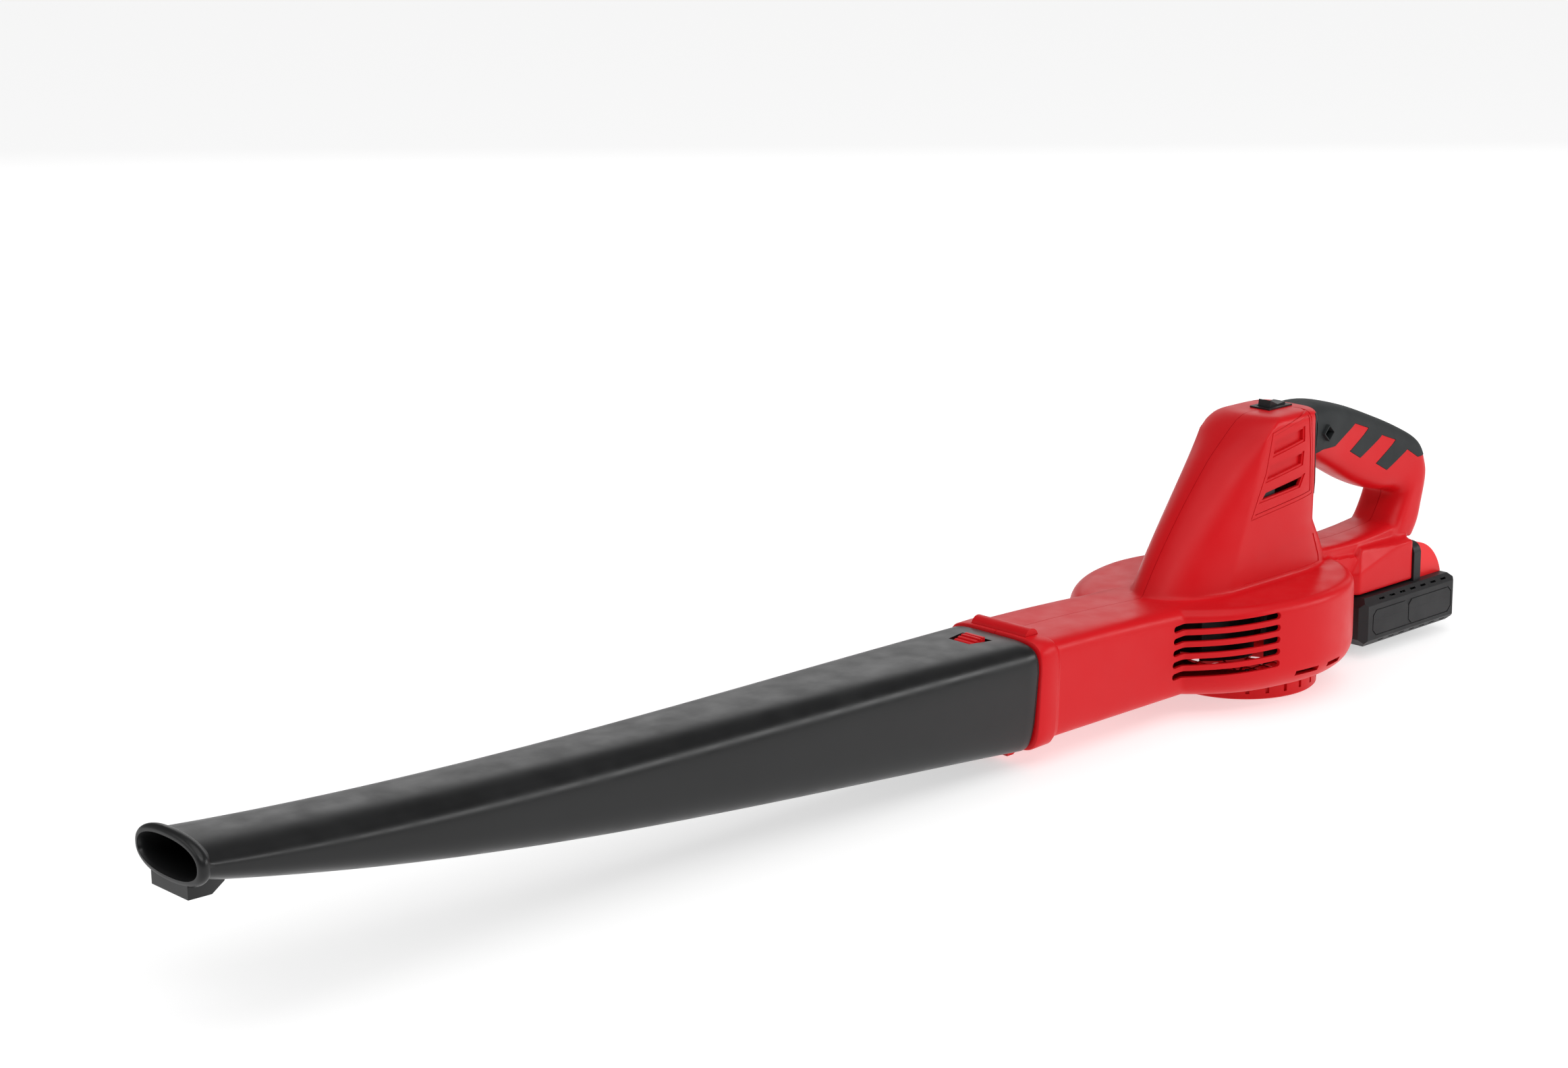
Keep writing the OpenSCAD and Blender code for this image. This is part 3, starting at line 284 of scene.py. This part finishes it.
def hull_of(name, boxes):
    """The smallest convex solid round some boxes, each given by its lowest and highest corner."""
    work = bmesh.new()
    for low, high in boxes:
        for x in (low[0], high[0]):
            for y in (low[1], high[1]):
                for z in (low[2], high[2]):
                    work.verts.new((x * MM, y * MM, z * MM))
    found = bmesh.ops.convex_hull(work, input=work.verts)
    inner = found["geom_interior"] + found["geom_unused"]
    spare = {v for v in inner if isinstance(v, bmesh.types.BMVert)}
    bmesh.ops.delete(work, geom=list(spare), context="VERTS")
    bmesh.ops.recalc_face_normals(work, faces=work.faces)
    mesh = bpy.data.meshes.new(name)
    work.to_mesh(mesh)
    work.free()
    obj = bpy.data.objects.new(name, mesh)
    bpy.context.scene.collection.objects.link(obj)
    return obj


def apply(obj, modifier):
    bpy.context.view_layer.objects.active = obj
    with bpy.context.temp_override(object=obj, active_object=obj):
        bpy.ops.object.modifier_apply(modifier=modifier.name)
    return obj


def join(name, parts):
    """Closed solids gathered into one mesh, which a voxel remesh then makes one skin."""
    work = bmesh.new()
    for p in parts:
        work.from_mesh(p.data)
        bpy.data.objects.remove(p)
    mesh = bpy.data.meshes.new(name)
    work.to_mesh(mesh)
    work.free()
    obj = bpy.data.objects.new(name, mesh)
    bpy.context.scene.collection.objects.link(obj)
    return obj


def combine(obj, tool, how="DIFFERENCE"):
    """Cuts, adds or overlaps the tool, and then removes it."""
    cut = obj.modifiers.new("combine", "BOOLEAN")
    cut.operation = how
    cut.solver = "MANIFOLD"
    cut.object = tool
    apply(obj, cut)
    bpy.data.objects.remove(tool)
    return obj


def union(parts):
    first, *rest = parts
    for p in rest:
        combine(first, p, "UNION")
    return first


def copy_of(obj, name):
    twin = obj.copy()
    twin.data = obj.data.copy()
    twin.name = name
    bpy.context.scene.collection.objects.link(twin)
    return twin


def remesh(obj, voxel, rounds):
    skin = obj.modifiers.new("remesh", "REMESH")
    skin.mode = "VOXEL"
    skin.voxel_size = voxel * MM
    skin.use_smooth_shade = True
    apply(obj, skin)
    relax = obj.modifiers.new("relax", "SMOOTH")
    relax.factor = 0.5
    relax.iterations = rounds
    return apply(obj, relax)


def shade(obj, angle):
    """Smooth faces, with the edges sharper than the angle, in degrees, left hard."""
    obj.data.polygons.foreach_set("use_smooth", [True] * len(obj.data.polygons))
    obj.data.update()
    work = bmesh.new()
    work.from_mesh(obj.data)
    limit = math.radians(angle)
    for e in work.edges:
        e.smooth = not (len(e.link_faces) == 2 and e.calc_face_angle(0) > limit)
    work.to_mesh(obj.data)
    work.free()


def finish_piece(obj, name, slot, body, *replaced):
    obj.name = name
    obj.data.materials.clear()
    obj.data.materials.append(materials[slot])
    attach(obj, body)
    if replaced:
        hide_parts(*replaced)
    return obj


# ---- Nozzle ----

JOINT_X, NOZZLE_LEN, SOCKET_LEN = -250, 604, 48
TIP_REACH = 5  # how far the rim stands past the CAD's tip, to match the photograph
TIP_X = JOINT_X - NOZZLE_LEN - TIP_REACH
RIM_HALF_W, RIM_HALF_H = 31.9, 14.6


def section_x(x, zc, half_w, half_h, power, narrow, n=112):
    """A rounded section across X. A higher power squares it, and narrow draws in its lower side."""
    t = 2 * math.pi * np.arange(n) / n
    s = signed_power(np.sin(t), 2 / power)
    y = half_w * signed_power(np.cos(t), 2 / power) * (1 - narrow * (1 - s) / 2)
    return np.column_stack([np.full(n, float(x)), y, zc + half_h * s])


def nozzle_top_at(t):
    """Height of the nozzle's top, where t runs from 0 at the joint to 1 at the tip."""
    return 84.5 + 17.2 * t - 29.4 * t * t + 32.9 * t ** 3


def nozzle_bottom_at(t):
    return 9.5 + 53 * t - 25.5 * t * t + 46.7 * t ** 3


def nozzle_section(t, inset):
    top, bottom = nozzle_top_at(t), nozzle_bottom_at(t)
    half_w = 42 - 12 * t + 1.2 * t * t - 1.5 * math.sin(math.pi * t)
    return section_x(JOINT_X - NOZZLE_LEN * t, (top + bottom) / 2, half_w - inset, (top - bottom) / 2 - inset,
                     5 - 2.7 * t ** 0.75, 0.18 * (1 - t))


def rim_section(x, inset):
    middle = (nozzle_top_at(1) + nozzle_bottom_at(1)) / 2
    return section_x(x, middle, RIM_HALF_W - inset, RIM_HALF_H - inset, 2.3, 0)


def socket_section(x, inset):
    return section_x(x, 48.5, 39.6 - inset, 33.5 - inset, 5, 0.18)


def make_nozzle():
    rim_profile = [(0, 2.8), (0.25, 1.8), (0.8, 0.9), (1.6, 0.3), (2.6, 0), (3.8, 0), (5, 0.3), (6.2, 1.0),
                   (7.3, 1.9), (8.4, 2.8)]
    tube = [nozzle_section(0, 0.9), nozzle_section(0.0012, 0.25)]
    tube += [nozzle_section(t, 0) for t in np.linspace(0.003, 1.004, 92)]
    outer = union([loft("tube", tube), loft("rim", [rim_section(TIP_X + x, i) for x, i in rim_profile])])
    foot_z = nozzle_bottom_at(1) - 8.6
    foot = hull_of("foot", [
        ((TIP_X + 0.5, -17, foot_z), (TIP_X + 1.5, 17, foot_z + 8)),
        ((TIP_X + 13, -15, foot_z - 1.2), (TIP_X + 16, 15, foot_z + 6.8)),
        ((TIP_X + 25, -10, foot_z + 2), (TIP_X + 27, 10, foot_z + 6)),
    ])
    combine(outer, foot, "UNION")
    bore = [rim_section(TIP_X - 1, 3.6), rim_section(TIP_X + 0.5, 3.9), rim_section(TIP_X + 1.4, 4.4),
            rim_section(TIP_X + 4, 4.8)]
    bore += [nozzle_section(t, 2.2) for t in np.linspace(0.95, 0.12, 50)]
    bore += [socket_section(JOINT_X - SOCKET_LEN, 0.4), socket_section(JOINT_X - SOCKET_LEN + 2, 0),
             socket_section(JOINT_X + 1, 0)]
    combine(outer, loft("bore", bore))
    window = [(JOINT_X - 31, -9), (JOINT_X - 31, 9), (JOINT_X - 14, 13), (JOINT_X - 14, -13)]
    combine(outer, between("window", [(x, y, 76) for x, y in window], [(x, y, 100) for x, y in window]))
    shade(outer, 30)
    finish_piece(outer, "nozzle_tube", "satin_black", "nozzle", "nozzle")


# ---- Housing ----

SCROLL_TOP, SCROLL_BOTTOM, TOWER_TOP = 77, 15, 188
WALL = 2.5
# Radius of the fan scroll at every 30 degrees
SCROLL_RADII = [126, 106, 87, 79, 77, 77, 79, 82, 86, 92, 107, 123]
# Rows along the handle: X and Z of its inner edge, X and Z of its outer edge, and half its width
HANDLE = np.array([
    [33, 152.5, 43, 186, 23.6], [56, 148, 70, 186, 21], [84, 135.5, 98, 179, 18.5],
    [111, 121.5, 128, 168, 18], [135, 112, 159, 155, 18.7], [150, 109.5, 182.5, 142, 19.5],
    [157, 107, 189, 127.5, 20.5],
    [157, 103, 189.5, 116, 21], [152, 94.5, 185.8, 98.5, 21], [144.5, 84.2, 181.5, 84, 21.5],
    [133, 76, 175, 73.5, 22],
])


def catmull(p, t):
    return 0.5 * (2 * p[1] + (p[2] - p[0]) * t + (2 * p[0] - 5 * p[1] + 4 * p[2] - p[3]) * t * t
                  + (3 * p[1] - p[0] - 3 * p[2] + p[3]) * t ** 3)


def through(rows, count):
    """A smooth run of rows through the given ones."""
    rows = np.asarray(rows, float)
    padded = np.vstack([2 * rows[0] - rows[1], rows, 2 * rows[-1] - rows[-2]])
    out = [catmull(padded[k:k + 4], t) for k in range(len(rows) - 1) for t in np.arange(count) / count]
    return out + [rows[-1]]


def duct_section(x, top, g):
    return section_x(x, (top + 15.2) / 2, 39.5 - g, (top - 15.2) / 2 - g, 7, 0.06)


def duct(g):
    stations = through([(-236 - g * 3, 83.5), (-190, 82.3), (-150, 80.6), (-110, 78.4), (-70 - g, 77)], 4)
    return loft("duct", [duct_section(x, top, g) for x, top in stations])


def collar():
    rows = [(-248, 47.8, 40.5, 36.2, 6, 0.12), (-247.4, 47.8, 41.7, 37.2, 6, 0.12),
            (-246.5, 47.8, 42.2, 37.6, 6, 0.12), (-233.6, 48.4, 42.2, 36.8, 6.5, 0.09),
            (-232.6, 48.4, 41.8, 36.4, 6.5, 0.09),
            (-229.5, 48.6, 39.8, 34.1, 7, 0.06), (-228, 48.6, 39.3, 33.6, 7, 0.06)]
    return loft("collar", [section_x(*r) for r in rows])


def spigot(g, shift=0):
    return loft("spigot", [socket_section(shift - 296, 0.8 + g), socket_section(shift - 293, 0.4 + g),
                           socket_section(shift - 236, 0.4 + g)])


def scroll_ring(phi, top, g, n=180):
    rows = []
    for k in range(n):
        a = 2 * math.pi * k / n - math.pi
        u = (math.degrees(a) + 540) % 360 / 30
        i = math.floor(u)
        r = catmull([SCROLL_RADII[(i + k2) % 12] for k2 in (-1, 0, 1, 2)], u - i)
        edge = 7 + 19 * max(0, math.sin(a)) if top else 19
        r -= g + edge * (1 - math.cos(phi))
        lift = edge * (1 - math.sin(phi)) + g
        rows.append((r * math.cos(a), r * math.sin(a), SCROLL_TOP - lift if top else SCROLL_BOTTOM + lift))
    return np.array(rows)


def scroll(g):
    rings = [scroll_ring(p, False, g) for p in np.radians(np.linspace(90, 0, 9))]
    rings += [scroll_ring(p, True, g) for p in np.radians(np.linspace(0, 90, 9))]
    return loft("scroll", rings)


def tower_ring(z, x_rear, g, n=120):
    """A rounded nose that meets the flat sides at a crease, and a squarer rear."""
    h = z - SCROLL_TOP
    front = -105.7 + 0.612 * h + 0.0022 * h * h + 0.22 * max(0, h - 86) + g
    mid = max(-57 + 0.45 * h, front + 8)
    half = 28.5 + 0.055 * (TOWER_TOP - z) - g
    t = 2 * math.pi * np.arange(n) / n
    back = np.cos(t) > 1e-9
    widest = math.radians(66)
    nose = widest * (t - math.pi) / (math.pi / 2)
    x = np.where(back, mid + (x_rear - g - mid) * signed_power(np.cos(t), 0.36),
                 front + (mid - front) * (1 - np.cos(nose)) / (1 - math.cos(widest)))
    y = np.where(back, half * signed_power(np.sin(t), 0.36), -half * np.sin(nose) / math.sin(widest))
    return np.column_stack([x, y, np.full(n, float(z))])


TOWER_EDGE = [(7, 0), (4.4, 0.5), (2.6, 1.5), (1.3, 3), (0.5, 4.8), (0, 8)]  # below the top, and inward


def tower(g):
    rows = [(77.5 if g > 0 else 72, 62, g), (86, 61, g), (96, 56.5, g), (110, 49, g), (126, 50, g),
            (136, 51.5, g), (160, 52, g)]
    rows += [(TOWER_TOP - g - down, 53, g + inward) for down, inward in TOWER_EDGE]
    rings, spread = [], 4
    for a, b in zip(rows, rows[1:]):
        rings += [tower_ring(*mix(np.array(a, float), np.array(b, float), k / spread)) for k in range(spread)]
    return loft("tower", rings + [tower_ring(*rows[-1])])


def handle_ring(s, g, n=84):
    mid, half = (s[:2] + s[2:4]) / 2, (s[2:4] - s[:2]) / 2
    v = half * (1 - g / np.linalg.norm(half))
    t = 2 * math.pi * np.arange(n) / n
    c, u = signed_power(np.cos(t), 0.62), signed_power(np.sin(t), 0.62)
    return np.column_stack([mid[0] + v[0] * u, (s[4] - g) * c, mid[1] + v[1] * u])


def handle(g):
    rows = through(HANDLE, 6)
    if g > 0:
        rows[-1] = rows[-1] + np.array([1, 1.2, 1, 1.2, 0]) * g
    return loft("handle", [handle_ring(s, g) for s in rows])


def arm(g):
    floor_z = 77.8 if g > 0 else 67.3
    rows = through([(42, 88, 25), (62, 85, 22), (95, 82.5, 20), (125, 83.5, 20), (150 - g, 86, 20)], 4)
    return loft("arm", [section_x(x, (top - g + floor_z) / 2, hw - g, (top - g - floor_z) / 2, 5, 0)
                        for x, top, hw in rows])


def foot_block(g):
    boxes = []
    low = 44.5 - (1 if g > 0 else 0)
    for near, side, top in [(4, 0, 60), (0, 4, 60), (52, 0, 73.5), (12, 6, 76)]:
        boxes.append(((93 + near + g, -29 + side + g, low), (158.6 - g, 29 - side - g, top - g)))
    return hull_of("foot_block", boxes)


def foot_web():
    return hull_of("foot_web", [((59, -23.4, 65.6), (63, 23.4, 75.6)), ((95, -23.4, 50), (99, 23.4, 72))])


def make_outside():
    wedge = hull_of("wedge", [((-247, -12, 11), (-232, 12, 13)), ((-246.5, -10, 3.2), (-241, 10, 5.2))])
    parts = [duct(0), scroll(0), tower(0), handle(0), arm(0), foot_block(0), foot_web()]
    skin = remesh(join("outside", parts), 1.3, 4)
    return union([skin, collar(), spigot(0), wedge])


def make_inside():
    lofts = [duct(WALL), spigot(2.2), spigot(2.2, -14), scroll(WALL), tower(WALL), handle(WALL), arm(WALL)]
    return union(lofts + [foot_block(WALL)])


def slot_bar(x0, z0, x1, z1, r, y0, y1, n=16):
    """A slot with round ends, drawn along Y."""
    along = math.atan2(z1 - z0, x1 - x0)
    turns = [along + a for a in np.linspace(-math.pi / 2, math.pi / 2, n)]
    outline = [(x1 + r * math.cos(a), z1 + r * math.sin(a)) for a in turns]
    outline += [(x0 - r * math.cos(a), z0 - r * math.sin(a)) for a in turns]
    return prism("slot", outline, y0, y1)


GRIP_OUTLINE = [(46, 210), (46, 186), (54, 152), (62, 155), (76, 155), (88, 161), (101, 167), (120, 160),
                (134, 153), (150, 147), (161, 139), (174, 131), (190, 131), (190, 210)]
STRIPES_AT = [(95, 148), (126, 134)]
STRIPE = [(0, 0), (12.5, -6.8), (37, 5), (40, 14), (24, 14)]
VENT_OUTLINE = [(-4, 177), (35, 185), (37, 162), (36, 132), (-27, 126), (-12, 152)]
VENT_OPENINGS = [
    [(-2.7, 172.2), (28.5, 176.6), (28.3, 169), (-4.3, 164)],
    [(-8.1, 156), (27, 159.6), (25.8, 152.8), (-11.9, 147.8)],
    [(-13.5, 139.2), (26.6, 143.7), (22.4, 138), (-18, 135)],
]
SIDE_PANEL = [(-33, 96), (40, 101.5), (46, 84), (46, 80.5), (-41, 80.5)]


def grown(outline, d):
    """The outline moved outward by d, whichever way round its points go."""
    pts = np.array(outline, float)
    area = np.sum(pts[:, 0] * np.roll(pts[:, 1], -1) - np.roll(pts[:, 0], -1) * pts[:, 1])
    turn = 1 if area > 0 else -1
    out = []
    for k in range(len(pts)):
        a, b, c = pts[k - 1], pts[k], pts[(k + 1) % len(pts)]
        e, f = (b - a) / np.linalg.norm(b - a), (c - b) / np.linalg.norm(c - b)
        m, n2 = turn * np.array([e[1], -e[0]]), turn * np.array([f[1], -f[0]])
        out.append(b + d * (m + n2) / (1 + m @ n2))
    return [tuple(p) for p in out]


def grip_zone(d):
    outlines = [GRIP_OUTLINE] + [[(x + dx, z + dz) for dx, dz in STRIPE] for x, z in STRIPES_AT]
    zone = [prism("zone", grown(outline, d), -60, 60) for outline in outlines]
    return combine(union(zone), block((51.5 - d, -60, 100), (240, 60, 220)), "INTERSECT")


def grip_band(outer, inner, d):
    """The layer of soft grip on the handle, and its strip down the back of the tower."""
    skin = combine(combine(handle(outer), handle(inner)), grip_zone(d), "INTERSECT")
    strip = combine(tower(outer), tower(inner))
    combine(strip, block((44 - d, -50, 128 - d), (64, 50, 184 + d)), "INTERSECT")
    return skin, strip


def diamond(r, y0, y1):
    return prism("diamond", [(63.5 + r, 167), (63.5, 167 + r), (63.5 - r, 167), (63.5, 167 - r)], y0, y1)


def half_space(side, gap=0.16):
    y = sorted((side * gap, side * 220))
    return block((-420, y[0], -20), (320, y[1], 280))


def make_housing():
    shell = combine(make_outside(), make_inside())
    for tool in grip_band(-3, 1.5, 0.22):
        combine(shell, tool)
    cuts = [
        diamond(6, -60, -15),
        block((28 - 10.4, -7, 170), (28 + 10.4, 7, 200)),
        block((-283, -12, 70.2), (-232.5, 12, 79.2)), block((-283, -9, 70.2), (-262, 9, 100.2)),
        block((-245.4, -24, 77.6), (-232.6, 24, 97.6)),
        block((95.5, -17.5, 41), (168, 17.5, 56.5)), block((95.5, -22.5, 47.5), (168, 22.5, 56.5)),
    ]
    mouth = [np.column_stack([41 * np.cos(a), 41 * np.sin(a), np.full(64, z)])
             for z in (10.0, 19.0) for a in [2 * math.pi * np.arange(64) / 64]]
    cuts.append(loft("mouth", mouth))
    for tool in cuts:
        combine(shell, tool)
    for side in (-1, 1):
        combine(shell, prism("vent_seat", VENT_OUTLINE, *sorted((side * 16, side * 44))))
    for k in range(5):
        combine(shell, slot_bar(-115, 33 + 8.2 * k, -52, 36.5 + 8.2 * k, 2.3, -100, -30))
    for x, long in [(-34.7, 21.5), (-3, 16.5)]:
        combine(shell, block((x, -90, 24.4), (x + long, -50, 28)))
    for side in (-1, 1):
        skin = combine(tower(-2), tower(0.45))
        panel = prism("panel", SIDE_PANEL, *sorted((side * 12, side * 60)))
        combine(shell, combine(copy_of(skin, "panel_skin"), panel, "INTERSECT"))
        rim = prism("rim", grown(VENT_OUTLINE, 2.6), *sorted((side * 12, side * 60)))
        combine(rim, prism("inside", grown(VENT_OUTLINE, 1.9), *sorted((side * 11, side * 61))))
        combine(shell, combine(skin, rim, "INTERSECT"))
    for side, name in ((-1, "left"), (1, "right")):
        half = copy_of(shell, "shell_" + name)
        combine(half, half_space(side), "INTERSECT")
        shade(half, 34)
        finish_piece(half, "shell_" + name, "red_shell", "base", "housing_" + name)
    bpy.data.objects.remove(shell)


def make_grips():
    for side, name in ((-1, "left"), (1, "right")):
        skin, strip = grip_band(-0.2, 1.35, 0)
        grip = union([skin, strip])
        if side < 0:
            combine(grip, diamond(5.9, -24, -14.2), "UNION")
            combine(grip, diamond(4.9, -60, -15.4))
        combine(grip, half_space(side, 0.1), "INTERSECT")
        shade(grip, 34)
        finish_piece(grip, "soft_grip_" + name, "soft_grip", "base", "grip_" + name)


def make_vents():
    """The vent inserts. The upper two openings are backed by a baffle that the CAD doesn't have."""
    for side, name in ((-1, "left"), (1, "right")):
        insert = combine(tower(0.35), tower(3.4))
        edge = prism("edge", grown(VENT_OUTLINE, -0.3), *sorted((side * 17, side * 43)))
        combine(insert, edge, "INTERSECT")
        for outline in VENT_OPENINGS:
            lip = combine(tower(-2), tower(1.1))
            ring = prism("ring", grown(outline, 1.5), *sorted((side * 12, side * 48)))
            combine(insert, combine(lip, ring, "INTERSECT"))
            combine(insert, prism("opening", outline, *sorted((side * 12, side * 48))))
        for outline in VENT_OPENINGS[:2]:
            back = combine(tower(3.2), tower(5.2))
            baffle = prism("baffle", grown(outline, 2.2), *sorted((side * 12, side * 48)))
            combine(insert, combine(back, baffle, "INTERSECT"), "UNION")
        shade(insert, 30)
        finish_piece(insert, "vent_insert_" + name, "red_shell", "base", "vent_" + name)


# ---- CAD solids that keep their shape: softened edges and a finish ----

def dress(obj, slot, width=0.35):
    obj.data.materials.clear()
    obj.data.materials.append(materials[slot])
    weld = obj.modifiers.new("weld", "WELD")
    weld.merge_threshold = 0.00001
    flat = obj.modifiers.new("flat", "DECIMATE")
    flat.decimate_type = "DISSOLVE"
    flat.angle_limit = math.radians(0.8)
    if width:
        edge = obj.modifiers.new("edge", "BEVEL")
        edge.width = width * MM
        edge.segments = 2
        edge.limit_method = "ANGLE"
        edge.angle_limit = math.radians(35)
        edge.harden_normals = False
    obj.data.polygons.foreach_set("use_smooth", [True] * len(obj.data.polygons))
    obj.data.update()
    weigh = obj.modifiers.new("weigh", "WEIGHTED_NORMAL")
    weigh.keep_sharp = True


def make_springs():
    """Copies of the two springs, dressed in steel and hung on their bodies in place of the CAD springs."""
    for node, body, joint, x, floor, keep in (
        ("latch_spring", "base", "latch_press", -239, 70.2, 0.42),
        ("button_spring", "battery", "button_press", 182, 38, 0.8),
    ):
        mesh = nodes[node].data.copy()
        mesh.transform(nodes[node].matrix_world)
        coil = bpy.data.objects.new(node + "_coil", mesh)
        bpy.context.scene.collection.objects.link(coil)
        dress(coil, "steel", 0)
        finish_piece(coil, node + "_coil", "steel", body, node)
        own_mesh(coil)


def dress_nodes():
    slots = {p["node"]: p["material_slot"] for p in frame["record"]["subparts"]}
    for name, obj in nodes.items():
        if not obj.hide_render:
            dress(obj, "button_red" if name == "battery_button" else slots[name])


materials = make_materials()
make_camera()
make_floor()
make_lights()

make_nozzle()
make_housing()
make_grips()
make_vents()
make_springs()
dress_nodes()
